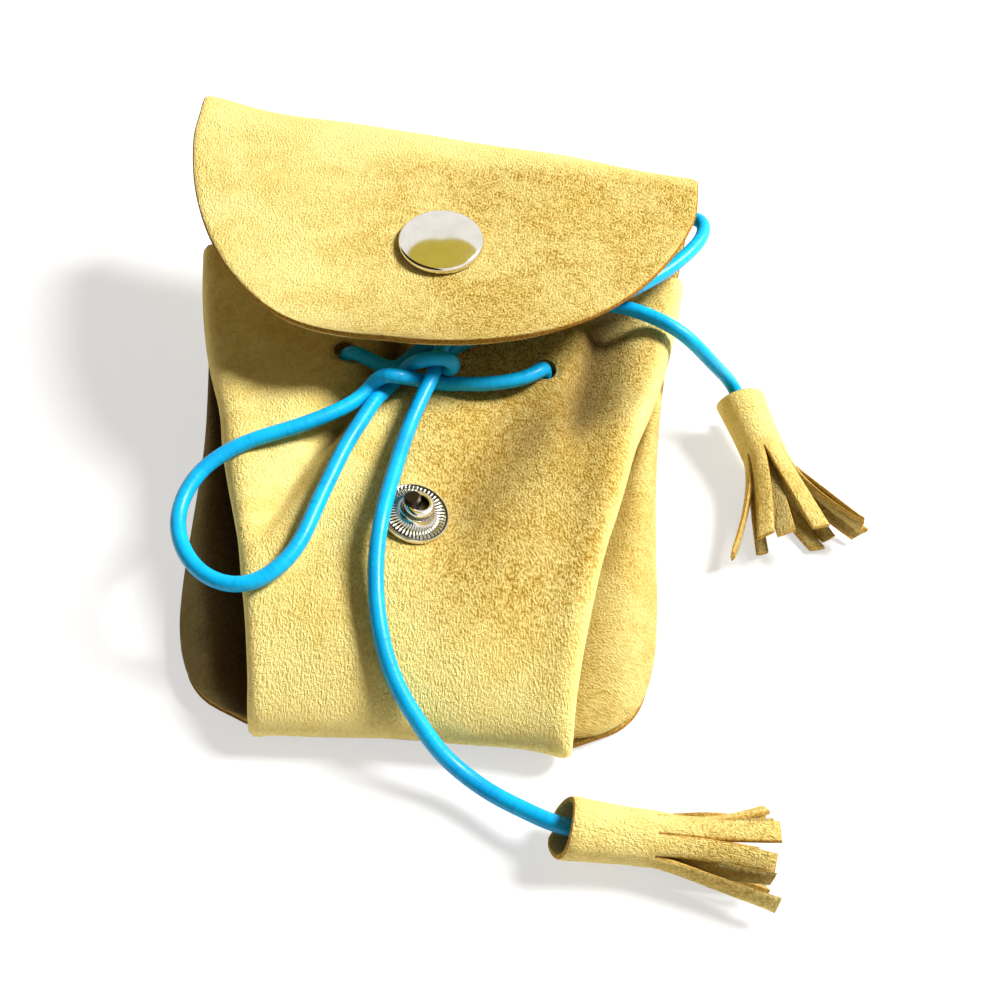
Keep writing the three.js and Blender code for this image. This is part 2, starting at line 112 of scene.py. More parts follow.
def curve_through(points, at):
    """Points of a smooth curve through points (their first axis), read at positions 0 to n-1."""
    points = np.asarray(points, float)
    whole = np.concatenate([2 * points[:1] - points[1:2], points, 2 * points[-1:] - points[-2:-1]])
    gaps = np.linalg.norm(np.diff(whole, axis=0), axis=-1, keepdims=True) ** 0.5
    gaps = np.maximum(gaps, 1e-6)
    i = np.clip(np.floor(at).astype(int), 0, len(points) - 2)
    t = np.asarray(at, float) - i
    t = t.reshape(t.shape + (1,) * (points.ndim - 1))
    p0, p1, p2, p3 = (whole[i + k] for k in range(4))
    d1, d2, d3 = (gaps[i + k] for k in range(3))
    m1 = ((p1 - p0) / d1 - (p2 - p0) / (d1 + d2) + (p2 - p1) / d2) * d2
    m2 = ((p2 - p1) / d2 - (p3 - p1) / (d2 + d3) + (p3 - p2) / d3) * d2
    return (
        (2 * t**3 - 3 * t**2 + 1) * p1
        + (t**3 - 2 * t**2 + t) * m1
        + (3 * t**2 - 2 * t**3) * p2
        + (t**3 - t**2) * m2
    )


def distance_along(line):
    """Distance of each point of a line from its start."""
    return np.concatenate([[0], np.cumsum(np.linalg.norm(np.diff(line, axis=0), axis=1))])


def spacing(grid, axis):
    """Distances between the neighbours in a grid of points, along one of its axes."""
    return np.linalg.norm(np.diff(grid, axis=axis), axis=2)


def waves(seed, count, longest, shortest):
    """A smooth random field over points, about -1 to 1, made of waves of these lengths."""
    draw = np.random.default_rng(seed)
    length = np.exp(draw.uniform(math.log(shortest), math.log(longest), count))
    turn = draw.normal(size=(count, 3))
    turn /= np.linalg.norm(turn, axis=1, keepdims=True)
    phase = draw.uniform(0, 2 * math.pi, count)
    size = (length / longest) ** 0.7
    size /= math.sqrt((size**2).sum() / 2)

    def read(points):
        flat = np.asarray(points, float)
        out = np.zeros(flat.shape[:-1])
        for k in range(count):
            out += size[k] * np.sin(2 * math.pi * (flat @ turn[k]) / length[k] + phase[k])
        return out * 0.6

    return read


# Small helpers for meshes

def put(name, data):
    """A new object in the scene."""
    made = bpy.data.objects.new(name, data)
    bpy.context.scene.collection.objects.link(made)
    return made


def mesh_object(name, points, faces, materials, indices=None, attributes=None, sharp=35.0):
    """A mesh piece from points in the maker's millimetres, that rides on the pouch."""
    mesh = bpy.data.meshes.new(name)
    mesh.from_pydata(to_row(points).tolist(), [], faces)
    mesh.validate()
    for material in materials:
        mesh.materials.append(material)
    if indices is not None:
        mesh.polygons.foreach_set("material_index", np.asarray(indices, np.int32))
    mesh.polygons.foreach_set("use_smooth", [True] * len(mesh.polygons))
    mesh.set_sharp_from_angle(angle=math.radians(sharp))
    for key, values in (attributes or {}).items():
        values = np.asarray(values, np.float32)
        kind = "FLOAT" if values.ndim == 1 else "FLOAT_VECTOR"
        layer = mesh.attributes.new(key, kind, "POINT")
        layer.data.foreach_set("value" if values.ndim == 1 else "vector", values.ravel())
    piece = put(name, mesh)
    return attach(piece, "root")


def grid_normals(grid):
    """The upward normals of a grid of points, rows first."""
    along = np.gradient(grid, axis=0)
    across = np.gradient(grid, axis=1)
    normal = np.cross(across, along)
    return normal / np.maximum(np.linalg.norm(normal, axis=2, keepdims=True), 1e-9)


def relaxed(grid, rounds, hold):
    """The grid with each inner point drawn towards its neighbours, hold 1 keeping it."""
    grid = grid.copy()
    for _ in range(rounds):
        mean = grid.copy()
        mean[1:-1, 1:-1] = (
            grid[:-2, 1:-1] + grid[2:, 1:-1] + grid[1:-1, :-2] + grid[1:-1, 2:]
        ) / 4
        grid += (mean - grid) * (1 - hold)[..., None] * 0.7
    return grid


def flat_lengths(grid):
    """Distance across and along the leather of each grid point, in millimetres."""
    across = np.pad(np.cumsum(spacing(grid, 1), axis=1), ((0, 0), (1, 0)))
    across -= across[:, -1:] / 2
    along = np.pad(np.cumsum(spacing(grid, 0), axis=0), ((1, 0), (0, 0)))
    along = np.broadcast_to(along.mean(axis=1, keepdims=True), across.shape)
    return np.stack([across, along, np.zeros_like(across)], axis=2)


def grid_squares(grid, cut=None):
    """Corner numbers of a grid's squares, without the ones that are cut away."""
    number = np.arange(grid[..., 0].size).reshape(grid.shape[:2])
    near, far = number[:-1], number[1:]
    corners = np.stack([near[:, :-1], near[:, 1:], far[:, 1:], far[:, :-1]], 2)
    return corners.reshape(-1, 4) if cut is None else corners[~cut]


# How a cut edge is rounded, as shares of the sheet's thickness, and the angle in degrees from
# which a corner looks sharp
EDGE_THINNING = 0.72
EDGE_INSET = 0.16
EDGE_LEVELS = (0.32, 0.0, -0.32)
SHEET_SHARP = 60


def leather_sheet(name, grid, thickness, materials, extra=None, cut=None, flat=None, under=None):
    """A sheet of leather round a grid of middle points, with its cut edges a little rounded.

    cut marks the grid's squares that are cut away, so that slits and strips can be made. extra
    has attributes of both faces, and under the ones that differ on the lower face."""
    middle = grid.reshape(-1, 3)
    count = len(middle)
    normal = grid_normals(grid)
    flat = (flat_lengths(grid) if flat is None else flat).reshape(-1, 3)
    squares = grid_squares(grid, cut)
    centre = middle[squares].mean(axis=1)
    inward = np.zeros((count, 3))
    for k in range(4):
        np.add.at(inward, squares[:, k], centre - middle[squares[:, k]])
    ends = np.concatenate([squares[:, [k, (k + 1) % 4]] for k in range(4)])
    both = {}
    for start, end in ends.tolist():
        both[(start, end)] = both.get((start, end), 0) + 1
    rim = np.array([pair for pair in both if pair[::-1] not in both])
    edge = np.zeros(count, bool)
    edge[rim.ravel()] = True
    length = np.maximum(np.linalg.norm(inward, axis=1, keepdims=True), 1e-9)
    inward = np.where(edge[:, None], inward / length, 0) * EDGE_INSET * thickness
    up = normal.reshape(-1, 3) * np.where(edge, EDGE_THINNING, 1.0)[:, None]
    points = [middle + up * thickness / 2 + inward, middle - up * thickness / 2 + inward]
    points += [middle + up * level * thickness for level in EDGE_LEVELS]
    faces = [squares, squares[:, ::-1] + count]
    a, b = rim.T
    layers = [0, 2 * count, 3 * count, 4 * count, count]
    for high, low in zip(layers[:-1], layers[1:]):
        faces.append(np.stack([a + high, a + low, b + low, b + high], 1))
    indices = np.concatenate([np.full(len(f), 0 if k < 2 else 1) for k, f in enumerate(faces)])
    faces = np.concatenate(faces)
    points = np.concatenate(points)
    used, faces = np.unique(faces, return_inverse=True)
    faces = faces.reshape(-1, 4)
    attributes = {"flat": np.concatenate([flat] * 5)[used]}
    for key, values in (extra or {}).items():
        lower = (under or {}).get(key, values)
        attributes[key] = np.concatenate([values.ravel(), lower.ravel()] + [values.ravel()] * 3)[used]
    return mesh_object(name, points[used], faces.tolist(), materials, indices, attributes, SHEET_SHARP)


def ring_faces(count, sides, closed=False):
    """Faces between count rings of points, and over both ends if the tube is closed."""
    own = np.arange(sides)
    nxt = np.roll(own, -1)
    faces = []
    for low in range(0, (count - 1) * sides, sides):
        high = low + sides
        faces += np.stack([own + low, nxt + low, nxt + high, own + high], 1).tolist()
    if closed:
        faces += [own[::-1].tolist(), (own + (count - 1) * sides).tolist()]
    return faces


def turned(profile, segments, wave=None, closed=False):
    """Points and faces of a turned piece from [radius, height] pairs; wave(ring, angle) lifts it."""
    angle = np.arange(segments) * 2 * math.pi / segments
    points = []
    for k, (radius, height) in enumerate(profile):
        level = height + (wave(k, angle) if wave else 0.0) + 0 * angle
        points.append(np.stack([radius * np.cos(angle), radius * np.sin(angle), level], 1))
    return np.concatenate(points), ring_faces(len(profile), segments, closed)


def frames_along(line):
    """Side and up directions along a line, turning as little as they can."""
    tangent = np.gradient(line, axis=0)
    tangent /= np.linalg.norm(tangent, axis=1, keepdims=True)
    side = np.zeros_like(tangent)
    start = np.cross(tangent[0], [0.0, 0.0, 1.0])
    side[0] = start / np.linalg.norm(start)
    for k in range(1, len(line)):
        s = side[k - 1] - tangent[k] * (side[k - 1] @ tangent[k])
        side[k] = s / np.linalg.norm(s)
    return side, np.cross(side, tangent)


# The camera looks down at the pouch at 50 degrees, turned 4 degrees about its own line of sight
LENS = 43.2
SENSOR = 36.0
EYE = np.array([12.32, -78.70, 151.08])
LOOK_DOWN = math.radians(50)
ROLL = math.radians(4)


def make_camera():
    level = np.array([1.0, 0.0, 0.0])
    up = np.array([0.0, math.sin(LOOK_DOWN), math.cos(LOOK_DOWN)])
    ahead = np.array([0.0, math.cos(LOOK_DOWN), -math.sin(LOOK_DOWN)])
    right = math.cos(ROLL) * level + math.sin(ROLL) * up
    up = math.cos(ROLL) * up - math.sin(ROLL) * level
    data = bpy.data.cameras.new("camera")
    data.lens = LENS
    data.sensor_width = SENSOR
    data.clip_start = 0.01
    data.clip_end = 10
    camera = put("camera", data)
    turn = Matrix((right, up, -ahead)).transposed().to_4x4()
    camera.matrix_world = Matrix.Translation(Vector(to_row(EYE))) @ turn
    bpy.context.scene.camera = camera


make_camera()


# Shader maths

class Val:
    """A socket of a material, with the operators that its maths uses."""

    def __init__(self, make, socket):
        self.make, self.socket = make, socket

    def maths(self, operation, *others, swap=False):
        values = (others[0], self) if swap else (self, *others)
        return self.make.node("ShaderNodeMath", {"operation": operation}, dict(enumerate(values)))

    def __add__(self, other):
        return self.maths("ADD", other)

    def __sub__(self, other):
        return self.maths("SUBTRACT", other)

    def __mul__(self, other):
        return self.maths("MULTIPLY", other)

    def __radd__(self, other):
        return self.maths("ADD", other, swap=True)

    def __rsub__(self, other):
        return self.maths("SUBTRACT", other, swap=True)

    def __rmul__(self, other):
        return self.maths("MULTIPLY", other, swap=True)

    def clipped(self):
        return self.make.node("ShaderNodeClamp", {}, {"Value": self})


class Finish:
    """Builds one material. node() adds any node; the rest are short forms of it."""

    def __init__(self, name=None, tree=None, shader="Principled BSDF"):
        if tree is None:
            self.material = bpy.data.materials.new(name)
            self.material.use_nodes = True
            tree = self.material.node_tree
        self.tree = tree
        self.shader = tree.nodes[shader]

    def node(self, kind, settings=None, inputs=None, out=0):
        made = self.tree.nodes.new(kind)
        for key, value in (settings or {}).items():
            setattr(made, key, value)
        for key, value in (inputs or {}).items():
            self.feed(made.inputs[key], value)
        return Val(self, made.outputs[out])

    def feed(self, socket, value):
        if isinstance(value, Val):
            self.tree.links.new(value.socket, socket)
        elif hasattr(value, "__len__") and socket.type == "RGBA":
            socket.default_value = (*value[:3], 1)
        else:
            socket.default_value = value

    def mix(self, share, a, b, blend="MIX"):
        return self.node(
            "ShaderNodeMix", {"data_type": "RGBA", "blend_type": blend}, {0: share, 6: a, 7: b}, out=2)

    def attribute(self, name, out="Vector"):
        return self.node("ShaderNodeAttribute", {"attribute_name": name}, out=out)

    def place(self):
        return self.node("ShaderNodeTexCoord", out="Object")

    def stretched(self, vector, scale):
        return self.node(
            "ShaderNodeVectorMath", {"operation": "MULTIPLY"}, {0: vector, 1: tuple(scale)})

    def noise(self, vector, scale, detail=3.0, rough=0.55, warp=0.0):
        return self.node(
            "ShaderNodeTexNoise", {"noise_dimensions": "3D"},
            {"Vector": vector, "Scale": scale, "Detail": detail, "Roughness": rough,
             "Distortion": warp})

    def ramp(self, value, low, high):
        return self.node(
            "ShaderNodeMapRange", {"interpolation_type": "SMOOTHSTEP"},
            {"Value": value, "From Min": low, "From Max": high})

    def raised(self, height, depth, strength=1.0):
        return self.node(
            "ShaderNodeBump", {}, {"Height": height, "Distance": depth, "Strength": strength})

    def set(self, **sockets):
        for key, value in sockets.items():
            self.feed(self.shader.inputs[key.replace("_", " ")], value)


def srgb(*levels):
    """A colour written in screen levels of 0 to 255, as a material wants it."""
    out = []
    for level in levels:
        c = level / 255
        out.append(c / 12.92 if c <= 0.04045 else ((c + 0.055) / 1.055) ** 2.4)
    return tuple(out)


def suede_finish(name, pale, deep, gap, painted_shade):
    """Suede with a short nap: pale fibre ends, deeper colour between them, and painted shade in the
    folds.

    The nap attribute says where the nap stands up, so that it looks darker and rougher. The fold
    attribute darkens pleats and hollows beyond what the soft light does, since the photo's
    contrast is strong. That colour stays when the light changes."""
    f = Finish(name)
    flat = f.attribute("flat")
    standing_nap = f.attribute("nap", out="Fac")
    fibres = f.noise(f.stretched(flat, (1.0, 0.6, 1.0)), 3.1, detail=2.0, rough=0.6)
    fine = f.noise(flat, 6.5, detail=1.0)
    clumps = f.noise(f.stretched(flat, (1.0, 0.7, 1.0)), 0.8, rough=0.6)
    brushed = f.noise(flat, 0.08, rough=0.6, warp=0.5)
    grain = fibres * 0.55 + fine * 0.2 + clumps * 0.25
    body = f.mix(f.ramp(brushed + 0.25 * (clumps - 0.5), 0.34, 0.66), deep, pale)
    body = f.mix((standing_nap * 0.4).clipped(), body, gap)
    share = 0.2 + standing_nap * (0.55 + 0.6 * f.ramp(brushed, 0.6, 0.4)) + 0.25 * (0.5 - brushed)
    nap = f.mix(f.ramp(grain, 0.55, 0.4) * share.clipped(), body, gap)
    ends = f.mix(f.ramp(grain, 0.5, 0.68) * 0.55, nap, pale)
    # Painted shade: the pleats, hollows and tassels' insides that the attribute marks turn towards the
    # dark shade colour.
    with_painted_shade = f.mix(f.attribute("painted_shade", out="Fac"), ends, f.mix(0.05, painted_shade, ends))
    rubbed = f.attribute("rubbed", out="Fac")
    lit = f.mix((rubbed * 0.6).clipped(), with_painted_shade, tuple(min(1.0, 1.1 * c) for c in pale))
    f.set(
        Base_Color=lit,
        Roughness=0.88 + 0.1 * clumps,
        Normal=f.raised(grain, 0.0009),
        Sheen_Weight=0.12,
        Sheen_Roughness=0.5,
        Sheen_Tint=(*srgb(255, 240, 190), 1),
        Specular_IOR_Level=0.1,
    )
    return f.material


def cut_edge_finish(name, face, core):
    """The raw cut through the suede: a darker, matted core."""
    f = Finish(name)
    strands = f.noise(f.place(), 2600.0, detail=4.0, rough=0.7)
    f.set(
        Base_Color=f.mix(f.ramp(strands, 0.32, 0.66), core, face),
        Roughness=0.95,
        Normal=f.raised(strands, 0.0003, 0.8),
        Specular_IOR_Level=0.1,
    )
    return f.material


def cord_finish(name):
    """Blue dyed round leather with a gloss, fine pores and faint lengthwise scuffs."""
    f = Finish(name)
    place = f.place()
    along = f.attribute("flat")
    pores = f.noise(place, 2600.0, rough=0.6)
    creases = f.noise(f.stretched(along, (0.35, 1.6, 1.0)), 1.0, rough=0.6, warp=0.8)
    cloud = f.noise(along, 0.12, detail=2.0)
    blue = f.mix(f.ramp(cloud, 0.3, 0.7), srgb(0, 150, 212), srgb(0, 174, 230))
    worn = f.mix(f.ramp(creases, 0.58, 0.78) * 0.35, blue, srgb(10, 196, 240))
    dark = f.mix(f.ramp(creases, 0.46, 0.3) * 0.3, worn, srgb(0, 96, 164))
    f.set(
        Base_Color=dark,
        Roughness=0.3 + 0.16 * creases,
        Normal=f.raised(pores * 0.3 + creases * 0.7, 0.00012, 0.8),
        Coat_Weight=0.1,
        Coat_Roughness=0.12,
        Specular_IOR_Level=0.2,
    )
    return f.material


def nickel_finish(name, tone, rough):
    """Polished nickel plate with hairline scratches and faint clouding, and painted shade where its
    attribute marks recesses.
    """
    f = Finish(name)
    place = f.place()
    hairs = f.noise(f.stretched(place, (1.0, 0.12, 1.0)), 5200.0, detail=2.0)
    cloud = f.noise(place, 420.0, detail=2.0)
    plate = f.mix(f.ramp(cloud, 0.3, 0.7), tone, tuple(0.93 * c for c in tone))
    f.set(
        # Painted shade in the recesses that the attribute marks
        Base_Color=f.mix(f.attribute("painted_recess_shade", out="Fac") * 0.9, plate, srgb(48, 42, 34)),
        Metallic=1.0,
        Roughness=rough + 0.08 * f.ramp(hairs, 0.55, 0.75) + 0.05 * cloud,
        Normal=f.raised(hairs, 0.00001, 0.3),
    )
    return f.material


# The last colour is the painted shade of the pleats, the hollows and the insides of the tassels'
# rolls.
SUEDE_FACE = suede_finish(
    "suede", srgb(242, 222, 142), srgb(228, 202, 116), srgb(156, 118, 28), srgb(44, 15, 2))
SUEDE_EDGE = cut_edge_finish("suede_cut_edge", srgb(176, 132, 54), srgb(120, 78, 20))
FRINGE_EDGE = cut_edge_finish("fringe_cut_edge", srgb(206, 172, 92), srgb(160, 118, 44))
CORD_LEATHER = cord_finish("blue_cord_leather")
NICKEL = nickel_finish("nickel", srgb(232, 228, 218), 0.08)
RIVET_NICKEL = nickel_finish("rivet_nickel", srgb(58, 50, 42), 0.35)
SPRING_STEEL = nickel_finish("spring_steel", srgb(168, 168, 166), 0.3)


# The cord: one length from tassel to tassel. It leaves the right tassel, goes under the flap,
# wraps round the knot, forms the left loop, runs along the front to the right hole, round the
# back, out of the left hole, through the knot to the right loop and ends in the left tassel.
CORD_ROUTE = [
    (54.1, 60.8, 6.4), (52.9, 64.3, 6.9), (52, 67, 7.4), (51, 68.8, 8.6), (49.8, 69.4, 10.2),
    (47.8, 68.4, 12.8), (45, 66.9, 16.8), (41.5, 66.9, 20.6), (38, 68.1, 22.6), (34.1, 70, 22.8),
    (28.8, 71.8, 23), (21.5, 70.4, 22.6), (14, 66.6, 22.2),
    (6.3, 62.4, 22.2), (3.6, 60.8, 21.4), (2.1, 60.1, 20.3), (1.5, 58.6, 19.9), (1.8, 57.2, 20.1),
    (2.7, 55.9, 21.2), (3.6, 54.6, 22.9), (3.7, 54.2, 24.3), (2.7, 54.0, 25.2), (1, 53.9, 25.3),
    (-0.8, 53.8, 24.8), (-2.5, 54.2, 23.5), (-3.8, 54.7, 21.4), (-4.9, 54.3, 20), (-6.3, 51.3, 20.4),
    (-7.6, 48.2, 21.1), (-9.1, 43.6, 21.1), (-10.1, 41, 21.1),
    (-13.2, 29.6, 19.7), (-15.9, 20, 18.2), (-21.5, 15.5, 16.8), (-28, 17.2, 16.7),
    (-33, 25.1, 17.2), (-31.7, 33, 18.8), (-26.2, 38.1, 20.3), (-17.7, 42.3, 20.9),
    (-11.2, 47, 21), (-9.6, 48.9, 21.2), (-8.5, 50.3, 21.8), (-7.5, 50.8, 23), (-6, 50.8, 24),
    (-4.2, 51, 23.8), (-2.2, 52.3, 22.2), (0.2, 53.8, 20.2), (2.6, 53.9, 20), (5.2, 53.6, 20.6),
    (8.6, 53.5, 20.9), (11.5, 54.3, 20.8), (14.4, 55.1, 20.8), (16.6, 56.7, 21),
    (17.8, 58.8, 20.4), (18, 59.3, 18), (18, 59.3, 12), (18, 59.3, 5.6), (17.6, 59.3, 2.9),
    (15.6, 59.2, 1.4), (11, 59.2, 1.3), (2, 59.2, 1.3), (-7, 59.2, 1.3), (-11.2, 59.2, 1.4),
    (-13.2, 59.3, 2.9), (-13.6, 59.3, 5.6), (-13.6, 59.3, 12), (-13.6, 59.3, 18),
    (-13.3, 58.9, 20.1), (-12.2, 58.3, 21.3), (-10.5, 57.4, 21.3), (-8.8, 57.2, 20.6),
    (-6.9, 56.7, 20), (-5.1, 57, 19.9), (-3.6, 58.5, 20.1), (-2.6, 59.7, 20.6), (-1.1, 60.5, 21.2),
    (0.8, 61.5, 21.7), (4.5, 64.2, 22.8), (10.5, 68.8, 24), (20, 75.3, 24.4), (30, 82.3, 24.8),
    (36.5, 88.2, 25.8), (39.6, 91, 26.5), (42.2, 91.4, 27.1), (43.6, 89, 27.6), (43.2, 85.5, 27.5),
    (40.6, 81.2, 27.2), (36.4, 76.2, 26.8), (30.4, 71.2, 26.4), (22, 66.6, 25.6), (13, 62.8, 24.8),
    (6, 61.6, 24.3), (3.5, 61, 24), (2.2, 59.7, 23.4), (1.5, 58.2, 22.8), (1.2, 56.5, 22.5),
    (0.9, 54.2, 22.5), (0.5, 51.7, 22.7), (-0.1, 49.7, 22.4),
    (-1.9, 43.1, 21.2), (-3.1, 34.5, 21.1), (-4, 25.5, 20.8), (-4.1, 19.8, 19), (-3.2, 13.1, 17),
    (-1.2, 6.9, 14.1), (1.6, 2.6, 11.2), (3.9, 0.4, 9.4), (6, -1.7, 7.2), (10.2, -4.1, 4.7),
    (14, -6.4, 4.3), (17.5, -8.2, 4.8), (20.9, -9.9, 5.3), (23.4, -10.9, 5.5), (27.6, -11, 5.2),
]
CORD_STEP = 0.55
CORD_EASING = 36
CORD_SIDES = 20
KNOT = (-2.2, 53.5, 22.5)


def even_line(route, step):
    """A smooth line through a route, with points a step apart."""
    count = len(route)
    line = curve_through(route, np.linspace(0, count - 1, (count - 1) * 12 + 1))
    gone = distance_along(line)
    at = np.linspace(0, gone[-1], int(gone[-1] / step) + 1)
    return np.stack([np.interp(at, gone, line[:, k]) for k in range(3)], axis=1)


def eased(line, rounds):
    """The line without its small wobbles, left nearly as it is in the knot and the holes."""
    loose = smooth(7, 14, np.linalg.norm(line - np.array(KNOT), axis=1))
    for hole in (HOLE_LEFT, HOLE_RIGHT):
        beside = np.hypot(line[:, 0] - hole, line[:, 1] - HOLE_ALONG)
        loose = loose * (0.25 + 0.75 * smooth(2, 6, beside))
    loose = (0.04 + 0.96 * loose) * 0.5
    line = line.copy()
    for _ in range(rounds):
        line[1:-1] += loose[1:-1, None] * ((line[:-2] + line[2:]) / 2 - line[1:-1])
    return line


def make_cord():
    """The cord and its middle line, which lies a little easier than its route."""
    line = eased(even_line(CORD_ROUTE, CORD_STEP), CORD_EASING)
    side, up = frames_along(line)
    along = distance_along(line)
    angle = np.arange(CORD_SIDES) * 2 * math.pi / CORD_SIDES
    uneven = waves(5, 24, 60, 6)
    radius = CORD / 2 * (1 + 0.015 * uneven(line))
    rings, flat = [], []
    for k, place in enumerate(line):
        outward = np.cos(angle)[:, None] * side[k] + np.sin(angle)[:, None] * up[k]
        rings.append(place + radius[k] * outward)
        flat.append(np.stack([angle * CORD / 2, np.full(CORD_SIDES, along[k]), 0 * angle], 1))
    points, faces = np.concatenate(rings), ring_faces(len(line), CORD_SIDES, closed=True)
    marks = {"flat": np.concatenate(flat)}
    piece = mesh_object("drawstring", points, faces, [CORD_LEATHER], attributes=marks)
    return piece, line


drawstring, cord_line = make_cord()


# The front panel

back_rise = track([(0.49, 0), (0.6, 0.28), (0.71, 1), (0.86, 2.05), (1, 3.4)])
outline = track([
    (0.035, 0.57), (0.044, 0.64), (0.056, 0.7), (0.08, 0.81), (0.112, 0.88), (0.158, 0.927),
    (0.23, 0.966), (0.33, 0.988), (0.45, 1),
])
mouth_flare = track([(0.45, 0), (0.75, 0.32), (1, 1)])
front_shape = track([
    (0, 1), (0.06, 1.005), (0.165, 1.06), (0.3, 1.17), (0.44, 1.32), (0.585, 1.46), (0.71, 1.62),
    (0.86, 1.76), (1, 1.86),
])
FIT_GAP = 0.3
NECK_LIFT = CORD + FIT_GAP + SUEDE
NECK_DIP = 1.6
CROWN = 0.03


def back_height(y):
    """Height of the back panel's middle at y. It rises towards the mouth, over the cord."""
    return SUEDE / 2 + (NECK_LIFT - SUEDE / 2) * back_rise(y / BODY_LENGTH)


def seam_half(y):
    """Half the width between the two side seams at y."""
    share = y / BODY_LENGTH
    flare = MOUTH_WIDTH / 2 - SUEDE / 2 - BACK_WIDTH / 2
    return BACK_WIDTH / 2 * outline(share) + flare * mouth_flare(share)


def drift_at(y):
    """How far the pouch leans to the right at y."""
    return BOTTOM_DRIFT * np.maximum(1 - y / BODY_LENGTH, 0) ** 1.5


def front_half(share):
    """Half the width of the front between its two pleats."""
    full = (front_shape(share) - 1) / (front_shape(1) - 1)
    return FRONT_BOTTOM_WIDTH / 2 + (MOUTH_WIDTH / 2 - FRONT_BOTTOM_WIDTH / 2) * full


def neck_dip(x, y):
    """How far the drawn cord pulls the front in at its neck."""
    side = (x - (HOLE_LEFT + HOLE_RIGHT) / 2) / (HOLE_RIGHT - HOLE_LEFT)
    return NECK_DIP * bump(y, HOLE_ALONG, 7) * bump(side, 0, 0.6)


# Rows of the front panel from the bottom seam to the mouth: shares of the body length for the
# middle and for the seam, share of the body height, then the pleat's floor and outer flange,
# each a share of the way from the front's edge to the seam and a height over the seam.
STATIONS = [
    (0.037, 0.056, 0.14, (0.25, 0), (0.62, 0)),
    (0.01, 0.08, 0.2, (0.14, 0.6), (0.6, 1.2)),
    (0.026, 0.112, 0.36, (0.1, 1.4), (0.6, 2.8)),
    (0.063, 0.158, 0.475, (0.06, 2), (0.6, 4)),
    (0.105, 0.19, 0.57, (0.03, 2.4), (0.56, 5)),
    (0.165, 0.23, 0.66, (0, 2.6), (0.56, 5.6)),
    (0.3, 0.33, 0.775, (-0.02, 3.6), (0.58, 6)),
    (0.44, 0.45, 0.83, (0, 5), (0.6, 6)),
    (0.585, 0.6, 0.88, (0.06, 7.4), (0.62, 5.6)),
    (0.71, 0.73, 0.91, (0.2, 8.6), (0.66, 5)),
    (0.86, 0.87, 0.955, (0.7, 6.6), (0.9, 3.6)),
    (1, 1, 1, (0.9, 4.4), (1, 2.2)),
]

# Each row is drawn through 13 points. These are the middle one, and how many points from it the
# front's edge and the pleat's bottom are.
MIDDLE_COLUMN = 6
FRONT_EDGE = 3
PLEAT_BOTTOM = 4

# How far a pleat is tucked under the front and how high its bottom lies, as shares, and how much
# of the left pleat's painted shade the right one gets
PLEAT_TUCK = 0.26
PLEAT_FLOOR = 0.3
RIGHT_PLEAT_SHADE = 0.2


def front_line(along, seam_along, height, floor, flange):
    """Points of one row of the front panel, from seam to seam."""
    y, seam_y = along * BODY_LENGTH, seam_along * BODY_LENGTH
    z = height * BODY_HEIGHT - SUEDE / 2
    bed = back_height(seam_y) + SUEDE + SEAM_GAP
    front, seam = front_half(along), seam_half(seam_y)
    crown = CROWN * BODY_HEIGHT * min(1, along / 0.1)

    def between(share):
        return front + (seam - front) * share

    def mixed(share):
        return y + (seam_y - y) * share

    half = [
        (0, y, z + crown),
        (0.45 * front, y, z + 0.8 * crown),
        (0.84 * front, y, z + 0.25 * crown),
        (front, y, z - 0.35),
        (between(floor[0] - PLEAT_TUCK), mixed(0.5), min(bed + PLEAT_FLOOR * floor[1], z - 0.5)),
        (between(flange[0]), mixed(0.75), bed + flange[1]),
        (seam, seam_y, bed),
    ]
    left = [(-x, py, pz) for x, py, pz in half[:0:-1]]
    line = np.array(left + half)
    line[:, 0] += drift_at(line[:, 1])
    line[:, 2] -= neck_dip(line[:, 0], line[:, 1])
    return line


def even_positions(grid, axis, count):
    """Positions along one axis of a grid that lie evenly along the leather."""
    step = spacing(grid, axis).mean(axis=1 - axis)
    at = np.concatenate([[0], np.cumsum(step)])
    return np.interp(np.linspace(0, at[-1], count), at, np.linspace(0, len(step), len(at)))


FRONT_STEP = 0.75
FINE_STEPS = 8
FRONT_RELAXING = 10
FRONT_WAVES = 0.35

# Folds that the drawn cord puts in the front: height, start, end, width on the left and on the
# right, and how far the ends fade out
FRONT_FOLDS = (
    (-6.5, (-5.5, 78), (-7, 55), 2.8, 2.8, 0.15),
    (-3.2, (-8, 56), (-15, 43), 2.8, 2.8, 0.35),
    (0.8, (-13, 76), (-17, 52), 3.2, 3.2, 0.3),
    (0.6, (1.5, 74), (3, 58), 3.5, 3.5, 0.3),
    (-2.4, (-13, 47), (-21.5, 25), 2.4, 2.4, 0.3),
    (0.9, (-17, 50), (-31, 38), 3.5, 3.5, 0.3),
    (-0.9, (-5, 47), (-15, 20), 3.5, 3.5, 0.3),
    (0.6, (-9, 44), (-22, 20), 3.5, 3.5, 0.3),
    (-4.4, (28, 84), (23.5, 47), 3, 7, 0.25),
    (1.0, (35, 80), (31, 56), 3.5, 3.5, 0.3),
    (-3.0, (19, 54), (4, 25), 8, 5, 0.3),
    (1.2, (31, 56), (24, 8), 3.5, 3.5, 0.3),
    (0.7, (-30, 52), (-22, 8), 3.5, 3.5, 0.3),
)
# The patch of painted shade beside the right hole, in the same form
HOLE_SHADE = ((27, 84), (17, 46), 6, 8, 0.3)


